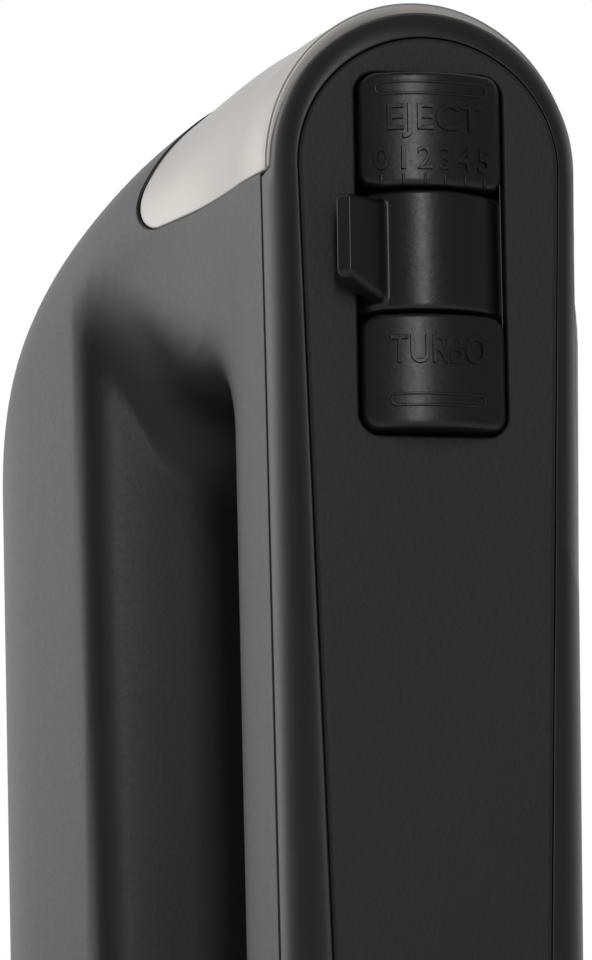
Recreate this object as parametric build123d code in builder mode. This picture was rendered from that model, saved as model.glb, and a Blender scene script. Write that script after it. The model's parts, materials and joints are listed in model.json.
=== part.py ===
from build123d import *
import os
from collections import namedtuple
from math import cos, radians, sin, sqrt

# Hand mixer that stands on its heel: shells, controls, motor, worm gearbox and two beater spindles.
# Millimetres. +Z runs from the heel to the nose, -Y is the grip side and +Y the underside, where the
# beaters plug in. X = 0 is the plane of symmetry. The origin is the point of the heel's rest face that is
# in line with the motor's shaft.

# ---------------------------------------------------------------- driving dimensions
PANEL_Y = -102.0  # flat face of the grip panel
SEAM_Y = -95.2  # where the handle cover meets the main housing
BASE_SEAM_Y = 6.0  # where the base cover meets the main housing
UNDERSIDE_Y = 40.0
WALL = 2.8
GAP_FIT = 0.4  # gap round a moving button
COVER_FLOOR_Y = -98.8  # inner face of the handle cover

HEEL_CORNER = 12.0
FOOT_THICKNESS = 3.0

# Outlines of the whole body at rising depth, seen along Y: half width at the nose's shoulders, height of
# the nose, length of its rounded end, height of the heel, and how much the width tapers to the heel.
Outline = namedtuple("Outline", "y half_width nose_z nose_length heel_z taper")
OUTLINES = [
    Outline(SEAM_Y, 21.6, 200.9, 23.4, 5.0, 0.09),
    Outline(-89.0, 22.9, 201.3, 23.2, 3.2, 0.11),
    Outline(-82.0, 23.8, 201.7, 23.4, 2.0, 0.13),
    Outline(-70.0, 25.9, 202.6, 24.2, 1.0, 0.13),
    Outline(-56.0, 30.2, 202.0, 26.6, 1.0, 0.12),
    Outline(-39.0, 36.8, 199.8, 29.0, 1.0, 0.10),
    Outline(-20.0, 41.8, 195.0, 31.2, 1.0, 0.07),
    Outline(0.0, 42.4, 188.6, 33.2, 1.0, 0.05),
    Outline(20.0, 39.2, 176.2, 35.0, 1.0, 0.05),
    Outline(33.0, 35.4, 165.0, 33.6, 4.0, 0.05),
    Outline(UNDERSIDE_Y, 31.2, 156.0, 30.5, 10.0, 0.05),
]
COVER_OUTLINES = [
    OUTLINES[0],
    Outline(-98.0, 20.9, 200.1, 22.3, 6.6, 0.11),
    Outline(-99.8, 20.1, 198.6, 21.0, 8.6, 0.15),
    Outline(-101.2, 18.4, 195.4, 18.6, 12.0, 0.22),
]
PANEL_OUTLINE = Outline(PANEL_Y, 17.7, 194.3, 17.7, 14.0, 0.26)
PANEL_THICKNESS = 2.0
COVER_WALL = 2.4

# Finger gap between handle and body
GAP_HANDLE_Y = -70.0
GAP_BODY_Y = -40.0
GAP_REAR_Z = 30.0
GAP_FRONT_Z = 152.0
GAP_CORNER = 12.0

# Silver nose trim
TRIM_REAR_Z = 176.8
TRIM_BODY_Y = -51.0
TRIM_CORNER = 8.0
TRIM_STEP = 0.3  # the trim lies this far under the housing's surface
TRIM_WALL = 2.0
RIM_INNER = Outline(SEAM_Y, 20.9, 198.9, 21.6, 5.6, 0.09)  # edge of the cover inside the trim's rim
RIM_Y = -96.4

# Controls, from nose to heel
OPENING_HALF = 10.1
OPENING_FRONT_Z = 189.2
OPENING_REAR_Z = 140.3
OPENING_CORNER = 2.8
EJECT_Z = (173.2, OPENING_FRONT_Z - GAP_FIT)
DRUM_Z = (156.5, 172.8)
TURBO_Z = (OPENING_REAR_Z + GAP_FIT, 156.1)
BUTTON_HALF = OPENING_HALF - GAP_FIT
BUTTON_CROWN = 18.0
BUTTON_TOP_Y = -105.8
BUTTON_SKIRT_Y = -97.0
DRUM_R = 11.5
DRUM_AXIS_Y = PANEL_Y + 8.0
DRUM_SHELL = 2.2
PIN_R = 1.5
EJECT_ROD_Z = 181.0
EJECT_ROD_R = 2.4
TURBO_STEM_Z = 148.4
TURBO_STEM_R = 2.0

# Motor on the Z axis, spindles along Y
SHAFT_R = 3.0
BEARING_R = 8.0
ROTOR_R = 16.0
CORE_Z = (57.0, 85.0)
FAN_Z = (96.0, 103.0)
REAR_BEARING_Z = (28.0, 34.0)
FRONT_BEARING_Z = (105.0, 111.0)
SPINDLE_X = 17.0
SPINDLE_Z = 130.0
SPINDLE_R = 5.5
SOCKET_R = 3.0
SOCKET_Y = (8.0, 38.0)
GEAR_R = 12.95
GEAR_TEETH = 26
WORM_R = 3.95
RUNNING_FIT = 0.04
GEARBOX_PLATE_Y = (20.0, 24.0)
GEARBOX_HALF = 30.0

# Underside and heel
COLLAR_R = 9.4
SCREW_R = 1.5
SCREW_HEAD_R = 3.2
SCREW_X = 24.0
BASE_SCREW_Z = 17.0
BASE_BOSS_R = 4.4
INLET_Z = 22.0
INLET_R = 7.0
CORD_HOLE_R = 3.6
VENT_HALF = 1.0
VENT_REACH = 14.0
INTAKE_Z = [38.0, 43.0, 48.0, 53.0]
EXHAUST_Z = [88.0, 93.0, 98.0, 103.0]
FOOT_Y = (-72.0, 28.0)
FOOT_HALF = 19.5
FOOT_CORNER = 14.0

NOSE_SPLIT_Z = 174.2
NOSE_INSET = 4.4  # leaves a wall under the recessed trim
LIP_FRONT_Z = 170.0
COLLAR_BORE_R = 7.2
COLLAR_Y = (33.0, 40.8)

# Inside the controls
BUTTON_WALL = 1.6
FLANGE_Y = (-98.7, BUTTON_SKIRT_Y)
FLANGE_HALF = 11.6
NOTCH_HALF = 4.7  # middle of each button's end walls, cut away over the drum's pin
NOTCH_Y = -100.6
TURBO_STEM_Y = -85.0
HUB_R = 3.4
DRUM_START, DRUM_SWEEP = -138.0, 201.0  # keeps the opening closed over the whole travel
DRUM_WEB_START, DRUM_WEB_SWEEP = -110.0, 150.0
DRUM_WEB_Z = (158.0, 169.6)
FIN_Z = (157.6, 160.5, 171.5)  # foot, start of the full height, front end
FIN_FOOT = 0.15  # height of the fin at its foot, as a share of the full height
FIN_CORNERS = [  # radius and angle about the drum's axis, all round the fin's section
    (10.5, -33.0),
    (11.6, -33.6),
    (18.3, -41.9),
    (18.3, -48.3),
    (16.6, -51.1),
    (14.2, -51.0),
    (12.9, -48.1),
    (10.5, -46.0),
]
PIN_Z = (153.8, 175.5)
FRAME_HALF = 11.0
FLOOR_HALF = 10.0
FLOOR_REAR_Z = 141.0
SHELF_Y = (-91.0, -89.0)
RAIL_X = (16.4, 17.7)
RAIL_Y = -87.0
RAIL_Z = (138.0, 175.5)
FRAME_REAR_Z = (138.0, 156.0)
FRAME_FRONT_Z = (173.4, 188.0)
POST_Z = ((153.6, 156.0), (173.4, 175.5))
POST_HALF = 4.2
POST_TOP = 2.6  # the posts rise this far above the drum's axis
FRAME_FLOOR_Y = (-76.0, -74.6)
SWITCH_Y = (-82.6, -76.0)
TURBO_SWITCH_Y = (-82.8, -76.0)
BOARD_Y = -83.0
CAPACITOR_R = 5.4
SPRING_WIRE_R = 0.4
SPRING_TOP_Y = BUTTON_TOP_Y + 2.8  # flat seat under each button
SPRING_SEAT_R = 5.0
YOKE_Y = (-36.4, -34.0)
EJECT_PIN_R = 1.6
EJECT_PIN_END_Y = 5.0

# Inside the motor and gearbox
SHAFT_Z = (24.0, 143.5)
ROTOR_SLOTS = 10
COMMUTATOR_Z = (38.5, 49.0)
COMMUTATOR_R = 9.5
COMMUTATOR_BARS = 20
FAN_R = 24.0
FAN_BLADES = 9
WORM_Z = (117.0, 142.0)
STATOR_HALF = (29.5, 27.0)
TIE_XY = (23.5, 17.5)
TIE_R = 1.6
TIE_END_Z = 108.0
BRACKET_Z = (26.0, 32.0)
BRACKET_HALF_X = 29.0
BRACKET_HALF_Y = 24.0
BRACKET_BOSS_Z = 23.0
FRAME_POST_Y = -26.0
BRACKET_FLANGE = 3.0
BRUSH_Z = 43.5
BRUSH_HOLDER_X = (11.0, 27.0)
BRUSH_END_X = 22.0
GEARBOX_FLOOR_Z = (104.0, 111.5)
GEARBOX_END_Z = 145.0
GEARBOX_BOSS_Z = (115.5, 141.0)
BOSS_X = 25.5
BOSS_R = 3.4
BOSS_TOP_Y = -38.6
BUSH_R = 8.2
GEAR_HALF = 5.0
SPINDLE_TOP_Y = -30.0

FAR = 260.0  # larger than the whole mixer

os.makedirs("parts", exist_ok=True)


def save(builder, node):
    """Label a finished piece and write it as one STEP."""
    builder.part.label = node
    export_step(builder.part, f"parts/{node}.step")


# ---------------------------------------------------------------- shared outlines and blocks
def depth_plane(y):
    """Sketch plane across the mixer at one depth: local x is X, local y is Z, the normal is -Y."""
    return Plane.XZ.offset(-y)


def outline_sketch(o, inset=0.0, y=None):
    """Face of one outline, drawn inset from the outer surface."""
    half = o.half_width - inset
    heel_half = o.half_width * (1 - o.taper) - inset
    shoulder = o.nose_z - o.nose_length
    heel = o.heel_z + inset
    corner = HEEL_CORNER - inset
    with BuildSketch(depth_plane(o.y if y is None else y), mode=Mode.PRIVATE) as sketch:
        with BuildLine():
            nose = EllipticalCenterArc((0, shoulder), half, o.nose_length - inset, arc_size=180)
            left = Line(nose @ 1, (-heel_half, heel + corner))
            rear_left = CenterArc((-heel_half + corner, heel + corner), corner, 180, 90)
            rear = Line(rear_left @ 1, (heel_half - corner, heel))
            rear_right = CenterArc((heel_half - corner, heel + corner), corner, 270, 90)
            Line(rear_right @ 1, nose @ 0)
        make_face()
    return sketch.sketch


def lofted(outlines, inset=0.0):
    """Solid through a list of outlines."""
    with BuildPart(mode=Mode.PRIVATE) as block:
        loft(sections=[outline_sketch(o, inset) for o in outlines])
    return block.part


def plate(o, inset, y_low, y_high):
    """Flat plate with one outline, between two depths."""
    with BuildPart(mode=Mode.PRIVATE) as block:
        extrude(outline_sketch(o, inset, y_high), amount=y_high - y_low)
    return block.part


def ring_plate(o, outer, inner, y_low, y_high):
    """Flat ring between two insets of one outline."""
    with BuildPart(mode=Mode.PRIVATE) as ring:
        add(plate(o, outer, y_low, y_high))
        add(plate(o, inner, y_low - 1, y_high + 1), mode=Mode.SUBTRACT)
    return ring.part


def slab(y_low, y_high, z_low=-FAR, z_high=FAR, x_low=-FAR, x_high=FAR):
    """Plain block between limits, for cutting and for flat-sided pieces."""
    with BuildPart(mode=Mode.PRIVATE) as block:
        with Locations(((x_low + x_high) / 2, (y_low + y_high) / 2, (z_low + z_high) / 2)):
            Box(x_high - x_low, y_high - y_low, z_high - z_low)
    return block.part


def rod_y(x, z, radius, y_low, y_high):
    """Round bar along Y."""
    with BuildPart(mode=Mode.PRIVATE) as bar:
        with BuildSketch(depth_plane(y_high)):
            with Locations((x, z)):
                Circle(radius)
        extrude(amount=y_high - y_low)
    return bar.part


def rod_z(x, y, radius, z_low, z_high):
    """Round bar along Z."""
    with BuildPart(mode=Mode.PRIVATE) as bar:
        with BuildSketch(Plane.XY.offset(z_low)):
            with Locations((x, y)):
                Circle(radius)
        extrude(amount=z_high - z_low)
    return bar.part


def control_opening(inset=0.0):
    """Rounded opening for the buttons and the slider, as a block right through panel and cover."""
    with BuildPart(mode=Mode.PRIVATE) as opening:
        with BuildSketch(depth_plane(SEAM_Y + 6)):
            with Locations((0, (OPENING_FRONT_Z + OPENING_REAR_Z) / 2)):
                length = OPENING_FRONT_Z - OPENING_REAR_Z - 2 * inset
                RectangleRounded(2 * (OPENING_HALF - inset), length, OPENING_CORNER - inset)
        extrude(amount=20)
    return opening.part


def flare(x, start, radius):
    """How far a rounded lip of this radius has turned away at x, when it starts at start."""
    run = min(max(x - start, 0.0), radius)
    return radius - sqrt(radius**2 - run**2)


def gap_cutter(grow=0.0):
    """The finger gap, which opens out towards both flanks; grow adds a wall's thickness all round."""
    stations = [0.0, 10.0, 14.0, 18.0, 20.5, 22.4, 25.0, 28.0, 32.0, 36.0, 39.0, 50.0]
    half_parts = []
    for side in (1, -1):
        with BuildPart(mode=Mode.PRIVATE) as half:
            for x in stations:
                reach = x + grow if x > 0 else 0.0
                y_low = GAP_HANDLE_Y - flare(reach, 10.4, 12.0) - grow
                y_high = GAP_BODY_Y + flare(reach, 25.0, 14.0) + grow
                z_low = GAP_REAR_Z - flare(reach, 14.0, 12.0) - grow
                z_high = GAP_FRONT_Z + flare(reach, 14.0, 14.0) + grow
                with BuildSketch(Plane.YZ.offset(side * x)):
                    with Locations(((y_low + y_high) / 2, (z_low + z_high) / 2)):
                        RectangleRounded(y_high - y_low, z_high - z_low, GAP_CORNER + grow)
            loft(ruled=True)
        half_parts.append(half.part)
    with BuildPart(mode=Mode.PRIVATE) as cutter:
        add(half_parts)
    return cutter.part


def trim_region(grow=0.0):
    """Space that the nose trim takes, seen from the side: a rounded corner towards the body."""
    with BuildPart(mode=Mode.PRIVATE) as region:
        with BuildSketch(Plane.YZ):
            with BuildLine():
                y_low, y_high = PANEL_Y - 20, TRIM_BODY_Y + grow
                z_low, z_high = TRIM_REAR_Z - grow, FAR
                FilletPolyline(
                    (y_low, z_high), (y_low, z_low), (y_high, z_low), (y_high, z_high),
                    radius=[0.01, TRIM_CORNER],
                )
                Line((y_high, z_high), (y_low, z_high))
            make_face()
        extrude(amount=60, both=True)
    return region.part


body_block = lofted(OUTLINES)
cavity_block = lofted(OUTLINES, WALL)
with BuildPart() as cavity_builder:
    add(cavity_block)
    add(slab(UNDERSIDE_Y - WALL, FAR), mode=Mode.SUBTRACT)
    add(slab(-FAR, FAR, NOSE_SPLIT_Z, FAR), mode=Mode.SUBTRACT)
    add(slab(-FAR, FAR, -FAR, FOOT_THICKNESS + WALL), mode=Mode.SUBTRACT)
with BuildPart() as nose_cavity_builder:
    add(lofted(OUTLINES, NOSE_INSET))
    add(slab(UNDERSIDE_Y - WALL, FAR), mode=Mode.SUBTRACT)
    add(slab(-FAR, FAR, -FAR, NOSE_SPLIT_Z), mode=Mode.SUBTRACT)
with BuildPart() as hollow_builder:
    add(cavity_builder.part)
    add(nose_cavity_builder.part)
    add(gap_cutter(WALL), mode=Mode.SUBTRACT)
hollow = hollow_builder.part

with BuildPart() as shell_builder:
    add(body_block)
    add(slab(-FAR, FAR, -FAR, FOOT_THICKNESS), mode=Mode.SUBTRACT)
    add(gap_cutter(), mode=Mode.SUBTRACT)
    add(hollow, mode=Mode.SUBTRACT)
shell = shell_builder.part

with BuildPart() as trim_skin_builder:
    add(body_block)
    add(lofted(OUTLINES, TRIM_STEP + TRIM_WALL + 0.1), mode=Mode.SUBTRACT)
    add(trim_region(0.15), mode=Mode.INTERSECT)
trim_skin = trim_skin_builder.part


# ---------------------------------------------------------------- shells
with BuildPart() as main_housing:
    add(shell)
    add(slab(BASE_SEAM_Y, FAR), mode=Mode.SUBTRACT)
    add(trim_skin, mode=Mode.SUBTRACT)
    for side in (1, -1):
        add(rod_y(side * BOSS_X, BRACKET_BOSS_Z, BOSS_R, BOSS_TOP_Y, FRAME_POST_Y))
        for z in GEARBOX_BOSS_Z:
            add(rod_y(side * BOSS_X, z, BOSS_R, BOSS_TOP_Y, -GEARBOX_PLATE_Y[1]))
        for z in (BRACKET_BOSS_Z,) + GEARBOX_BOSS_Z:
            add(rod_y(side * BOSS_X, z, SCREW_R, BOSS_TOP_Y + 3, 0), mode=Mode.SUBTRACT)
        add(rod_y(side * SCREW_X, BASE_SCREW_Z, BASE_BOSS_R, -10, 12))
        rib_low, rib_high = side * SCREW_X - 1.2, side * SCREW_X + 1.2
        add(slab(-10, BASE_SEAM_Y, FOOT_THICKNESS + 1, BASE_SCREW_Z, rib_low, rib_high))
        add(rod_y(side * SCREW_X, BASE_SCREW_Z, SCREW_R, -6, FAR), mode=Mode.SUBTRACT)
save(main_housing, "main_housing")


with BuildPart() as base_cover:
    add(shell)
    add(slab(-FAR, BASE_SEAM_Y), mode=Mode.SUBTRACT)
    for side in (1, -1):
        add(rod_y(side * SPINDLE_X, SPINDLE_Z, COLLAR_R, 20, UNDERSIDE_Y + 5), mode=Mode.SUBTRACT)
        add(rod_y(side * SCREW_X, BASE_SCREW_Z, BASE_BOSS_R, 12, UNDERSIDE_Y - WALL))
        add(rod_y(side * SCREW_X, BASE_SCREW_Z, SCREW_R, 0, UNDERSIDE_Y + 5), mode=Mode.SUBTRACT)
        add(rod_y(side * SCREW_X, BASE_SCREW_Z, SCREW_HEAD_R, 34, UNDERSIDE_Y + 5), mode=Mode.SUBTRACT)
    add(rod_y(0, INLET_Z, INLET_R, 20, UNDERSIDE_Y + 5), mode=Mode.SUBTRACT)
    for z in INTAKE_Z + EXHAUST_Z:
        slot = slab(30, UNDERSIDE_Y + 5, z - VENT_HALF, z + VENT_HALF, -VENT_REACH, VENT_REACH)
        add(slot, mode=Mode.SUBTRACT)
save(base_cover, "base_cover")

with BuildPart() as cover_lip:
    add(ring_plate(OUTLINES[0], WALL + 0.15, WALL + 1.65, COVER_FLOOR_Y, SEAM_Y + 2.5))
    add(slab(-FAR, FAR, LIP_FRONT_Z, FAR), mode=Mode.SUBTRACT)

with BuildPart() as rim_seat:
    add(plate(OUTLINES[0], -2, PANEL_Y - 2, SEAM_Y + 1))
    add(plate(RIM_INNER, 0.1, PANEL_Y - 3, SEAM_Y + 2), mode=Mode.SUBTRACT)
    add(slab(-FAR, FAR, -FAR, TRIM_REAR_Z - 0.15), mode=Mode.SUBTRACT)

with BuildPart() as handle_cover:
    add(lofted(COVER_OUTLINES))
    add(plate(OUTLINES[0], COVER_WALL + 0.4, COVER_FLOOR_Y, SEAM_Y + 1), mode=Mode.SUBTRACT)
    add(cover_lip.part)
    drum_room = rod_z(0, DRUM_AXIS_Y, DRUM_R + GAP_FIT, DRUM_Z[0] - GAP_FIT, DRUM_Z[1] + GAP_FIT)
    add(drum_room, mode=Mode.SUBTRACT)
    add(plate(PANEL_OUTLINE, -0.1, PANEL_Y - 1, PANEL_Y + PANEL_THICKNESS), mode=Mode.SUBTRACT)
    add(rim_seat.part, mode=Mode.SUBTRACT)
    add(control_opening(), mode=Mode.SUBTRACT)
save(handle_cover, "handle_cover")

with BuildPart() as grip_panel:
    add(plate(PANEL_OUTLINE, 0, PANEL_Y, PANEL_Y + PANEL_THICKNESS))
    add(control_opening(), mode=Mode.SUBTRACT)
save(grip_panel, "grip_panel")

with BuildPart() as trim_rim:
    add(plate(OUTLINES[0], TRIM_STEP, RIM_Y, SEAM_Y))
    add(plate(RIM_INNER, 0, RIM_Y - 1, SEAM_Y + 1), mode=Mode.SUBTRACT)
    add(slab(-FAR, FAR, -FAR, TRIM_REAR_Z), mode=Mode.SUBTRACT)

with BuildPart() as nose_trim:
    add(lofted(OUTLINES, TRIM_STEP))
    add(lofted(OUTLINES, TRIM_STEP + TRIM_WALL), mode=Mode.SUBTRACT)
    add(trim_region(), mode=Mode.INTERSECT)
    add(trim_rim.part)
save(nose_trim, "nose_trim")

with BuildPart() as heel_foot:
    with BuildSketch(Plane.XY):
        with Locations((0, (FOOT_Y[0] + FOOT_Y[1]) / 2)):
            RectangleRounded(2 * FOOT_HALF, FOOT_Y[1] - FOOT_Y[0], FOOT_CORNER)
    extrude(amount=FOOT_THICKNESS)
    chamfer(heel_foot.faces().sort_by(Axis.Z)[0].edges(), 0.8)
save(heel_foot, "heel_foot")

with BuildPart() as port_collars:
    for side in (1, -1):
        add(rod_y(side * SPINDLE_X, SPINDLE_Z, COLLAR_R, COLLAR_Y[0], COLLAR_Y[1]))
        add(rod_y(side * SPINDLE_X, SPINDLE_Z, COLLAR_BORE_R, 0, FAR), mode=Mode.SUBTRACT)
save(port_collars, "port_collars")

with BuildPart() as cord_inlet:
    add(rod_y(0, INLET_Z, INLET_R, 30, UNDERSIDE_Y + 0.6))
    add(rod_y(0, INLET_Z, CORD_HOLE_R, 0, FAR), mode=Mode.SUBTRACT)
save(cord_inlet, "cord_inlet")

with BuildPart() as base_screws:
    for side in (1, -1):
        add(rod_y(side * SCREW_X, BASE_SCREW_Z, SCREW_R, -6, 34))
        add(rod_y(side * SCREW_X, BASE_SCREW_Z, SCREW_HEAD_R - 0.1, 34, 36.2))
save(base_screws, "base_screws")


# ---------------------------------------------------------------- controls
def crowned_button(z_low, z_high, seat_z):
    """Hollow button cap with a convex face, a flange each side that holds it under the cover, and a
    round seat inside for its spring."""
    with BuildPart(mode=Mode.PRIVATE) as cap:
        with BuildSketch(Plane.XY.offset(z_low)):
            add(crown_profile(BUTTON_HALF, BUTTON_TOP_Y, BUTTON_CROWN, BUTTON_SKIRT_Y))
        extrude(amount=z_high - z_low)
        add(control_opening(GAP_FIT), mode=Mode.INTERSECT)
        for side in (1, -1):
            x_low, x_high = sorted((side * (BUTTON_HALF - BUTTON_WALL), side * FLANGE_HALF))
            add(slab(*FLANGE_Y, z_low + OPENING_CORNER, z_high - OPENING_CORNER, x_low, x_high))
        with BuildSketch(Plane.XY.offset(z_low + BUTTON_WALL)):
            add(crown_profile(BUTTON_HALF - BUTTON_WALL, BUTTON_TOP_Y + BUTTON_WALL,
                              BUTTON_CROWN - BUTTON_WALL, BUTTON_SKIRT_Y + 2))
        extrude(amount=z_high - z_low - 2 * BUTTON_WALL, mode=Mode.SUBTRACT)
        add(slab(NOTCH_Y, FAR, z_low, z_high, -NOTCH_HALF, NOTCH_HALF), mode=Mode.SUBTRACT)
        add(rod_y(0, seat_z, SPRING_SEAT_R, BUTTON_TOP_Y + 1, SPRING_TOP_Y))
    return cap.part


def crown_profile(half, top_y, radius, base_y):
    """Cross-section with an arched top towards -Y and straight sides down to base_y."""
    edge_y = top_y + radius - sqrt(radius**2 - half**2)
    with BuildSketch(Plane.XY, mode=Mode.PRIVATE) as profile:
        with BuildLine():
            Polyline((half, edge_y), (half, base_y), (-half, base_y), (-half, edge_y))
            ThreePointArc((-half, edge_y), (0, top_y), (half, edge_y))
        make_face()
    return profile.sketch


with BuildPart() as eject_button:
    add(crowned_button(*EJECT_Z, EJECT_ROD_Z))
save(eject_button, "eject_button")

with BuildPart() as turbo_button:
    add(crowned_button(*TURBO_Z, TURBO_STEM_Z))
    add(rod_y(0, TURBO_STEM_Z, TURBO_STEM_R, BUTTON_TOP_Y + 1, TURBO_STEM_Y))
save(turbo_button, "turbo_button")


def drum_sector(outer, inner, start, sweep, z_low, z_high):
    """Ring sector about the drum's axis; angles are measured from -Y towards +X."""
    with BuildPart(mode=Mode.PRIVATE) as sector:
        with BuildSketch(Plane.XY.offset(z_low)):
            with BuildLine():
                centre = (0, DRUM_AXIS_Y)
                rim = CenterArc(centre, outer, start - 90, sweep)
                bore = CenterArc(centre, inner, start - 90, sweep)
                Line(rim @ 0, bore @ 0)
                Line(rim @ 1, bore @ 1)
            make_face()
        extrude(amount=z_high - z_low)
    return sector.part


def drum_point(radius, angle):
    """Point at a radius and angle about the drum's axis, in the XY plane."""
    return (radius * sin(radians(angle)), DRUM_AXIS_Y - radius * cos(radians(angle)))


def fin_block():
    """Thumb fin of the slider, with its rear end sloped down to the drum."""
    sections = []
    for z, reach in zip(FIN_Z, (FIN_FOOT, 1.0, 1.0)):
        with BuildSketch(Plane.XY.offset(z), mode=Mode.PRIVATE) as section:
            with BuildLine():
                corners = [(DRUM_R + (r - DRUM_R) * reach if r > DRUM_R else r, a) for r, a in FIN_CORNERS]
                Polyline([drum_point(r, a) for r, a in corners], close=True)
            make_face()
        sections.append(section.sketch)
    with BuildPart(mode=Mode.PRIVATE) as fin:
        loft(sections=sections, ruled=True)
    return fin.part


with BuildPart() as speed_drum:
    add(drum_sector(DRUM_R, DRUM_R - DRUM_SHELL, DRUM_START, DRUM_SWEEP, *DRUM_Z))
    for z in DRUM_WEB_Z:
        add(drum_sector(DRUM_R - 0.5, HUB_R - 0.5, DRUM_WEB_START, DRUM_WEB_SWEEP, z, z + 2))
    add(rod_z(0, DRUM_AXIS_Y, HUB_R, DRUM_Z[0] + 0.2, DRUM_Z[1] - 0.2))
    add(fin_block())
    add(rod_z(0, DRUM_AXIS_Y, PIN_R + RUNNING_FIT, 0, FAR), mode=Mode.SUBTRACT)
save(speed_drum, "speed_drum")

with BuildPart() as drum_pin:
    add(rod_z(0, DRUM_AXIS_Y, PIN_R, *PIN_Z))
save(drum_pin, "drum_pin")

with BuildPart() as control_frame:
    for z_low, z_high in (FRAME_REAR_Z, FRAME_FRONT_Z):
        add(slab(SHELF_Y[0], SHELF_Y[1], z_low, z_high, -FRAME_HALF, FRAME_HALF))
    for side in (1, -1):
        x_low, x_high = sorted((side * RAIL_X[0], side * RAIL_X[1]))
        add(slab(SHELF_Y[0], RAIL_Y, RAIL_Z[0], RAIL_Z[1], x_low, x_high))
        for z in (RAIL_Z[0], RAIL_Z[1] - 2):
            bridge_low, bridge_high = sorted((side * (FRAME_HALF - 1), side * RAIL_X[1]))
            add(slab(SHELF_Y[0], RAIL_Y, z, z + 2, bridge_low, bridge_high))
    for z_low, z_high in POST_Z:
        add(slab(DRUM_AXIS_Y - POST_TOP, FRAME_FLOOR_Y[1], z_low, z_high, -POST_HALF, POST_HALF))
    add(slab(*FRAME_FLOOR_Y, FLOOR_REAR_Z, POST_Z[1][1], -FLOOR_HALF, FLOOR_HALF))
    add(rod_z(0, DRUM_AXIS_Y, PIN_R, 0, FAR), mode=Mode.SUBTRACT)
    add(rod_y(0, EJECT_ROD_Z, EJECT_ROD_R + 0.3, PANEL_Y, -60), mode=Mode.SUBTRACT)
    add(rod_y(0, TURBO_STEM_Z, TURBO_STEM_R + 0.3, PANEL_Y, -60), mode=Mode.SUBTRACT)
save(control_frame, "control_frame")

with BuildPart() as switch_block:
    add(slab(SWITCH_Y[0], FRAME_FLOOR_Y[0], 158, 170, -8, 8))
save(switch_block, "switch_block")

with BuildPart() as turbo_switch:
    add(slab(*TURBO_SWITCH_Y, 141.5, 152, -5, 5))
save(turbo_switch, "turbo_switch")

with BuildPart() as control_board:
    add(slab(BOARD_Y, BOARD_Y + 1.6, 62, 134, -12, 12))
save(control_board, "control_board")

with BuildPart() as board_capacitor:
    add(rod_z(0, BOARD_Y - CAPACITOR_R, CAPACITOR_R, 70, 94))
save(board_capacitor, "board_capacitor")


def coil_spring(z, wire_r, mean_r, y_low, y_high, turns):
    """Compression spring along Y round a rod."""
    rise = (y_high - y_low) - 2 * wire_r
    with BuildPart(mode=Mode.PRIVATE) as spring:
        with BuildLine():
            start = (0, y_low + wire_r, z)
            wire = Helix(rise / turns, rise, mean_r, center=start, direction=(0, 1, 0))
        with BuildSketch(Plane(origin=wire @ 0, z_dir=wire % 0)):
            Circle(wire_r)
        sweep(is_frenet=True)
    return spring.part


with BuildPart() as eject_spring:
    add(coil_spring(EJECT_ROD_Z, SPRING_WIRE_R, EJECT_ROD_R + 1.3, SPRING_TOP_Y, SHELF_Y[0], 5))
save(eject_spring, "eject_spring")

with BuildPart() as turbo_spring:
    add(coil_spring(TURBO_STEM_Z, SPRING_WIRE_R, TURBO_STEM_R + 1.3, SPRING_TOP_Y, SHELF_Y[0], 5))
save(turbo_spring, "turbo_spring")

with BuildPart() as eject_rod:
    add(rod_y(0, EJECT_ROD_Z, EJECT_ROD_R, SPRING_TOP_Y, YOKE_Y[0]))
save(eject_rod, "eject_rod")

with BuildPart() as eject_yoke:
    add(slab(*YOKE_Y, SPINDLE_Z + 6, EJECT_ROD_Z + 4, -5, 5))
    add(slab(*YOKE_Y, SPINDLE_Z - 4, SPINDLE_Z + 6.5, -SPINDLE_X - 4, SPINDLE_X + 4))
save(eject_yoke, "eject_yoke")

with BuildPart() as eject_pins:
    for side in (1, -1):
        add(rod_y(side * SPINDLE_X, SPINDLE_Z, EJECT_PIN_R, YOKE_Y[1], EJECT_PIN_END_Y))
save(eject_pins, "eject_pins")


# ---------------------------------------------------------------- motor
def ring_z(x, y, outer, inner, z_low, z_high):
    """Tube along Z."""
    with BuildPart(mode=Mode.PRIVATE) as tube:
        add(rod_z(x, y, outer, z_low, z_high))
        add(rod_z(x, y, inner, z_low - 1, z_high + 1), mode=Mode.SUBTRACT)
    return tube.part


with BuildPart() as motor_shaft:
    add(rod_z(0, 0, SHAFT_R, SHAFT_Z[0], SHAFT_Z[1]))
    chamfer(motor_shaft.edges().filter_by(GeomType.CIRCLE), 0.5)
save(motor_shaft, "motor_shaft")

with BuildPart() as rotor_core:
    with BuildSketch(Plane.XY.offset(CORE_Z[0])):
        Circle(ROTOR_R)
        with PolarLocations(ROTOR_R - 3.5, ROTOR_SLOTS):
            SlotCenterToCenter(6.0, 2.2, mode=Mode.SUBTRACT)
        Circle(SHAFT_R, mode=Mode.SUBTRACT)
    extrude(amount=CORE_Z[1] - CORE_Z[0])
save(rotor_core, "rotor_core")

with BuildPart() as rotor_windings:
    for z_low, z_high in ((CORE_Z[0] - 7, CORE_Z[0]), (CORE_Z[1], CORE_Z[1] + 7)):
        add(ring_z(0, 0, ROTOR_R - 2, SHAFT_R, z_low, z_high))
    end_circles = rotor_windings.edges().filter_by(GeomType.CIRCLE).group_by(Axis.Z)[0]
    fillet(end_circles.sort_by(SortBy.LENGTH)[-1], 2)
save(rotor_windings, "rotor_windings")

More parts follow.
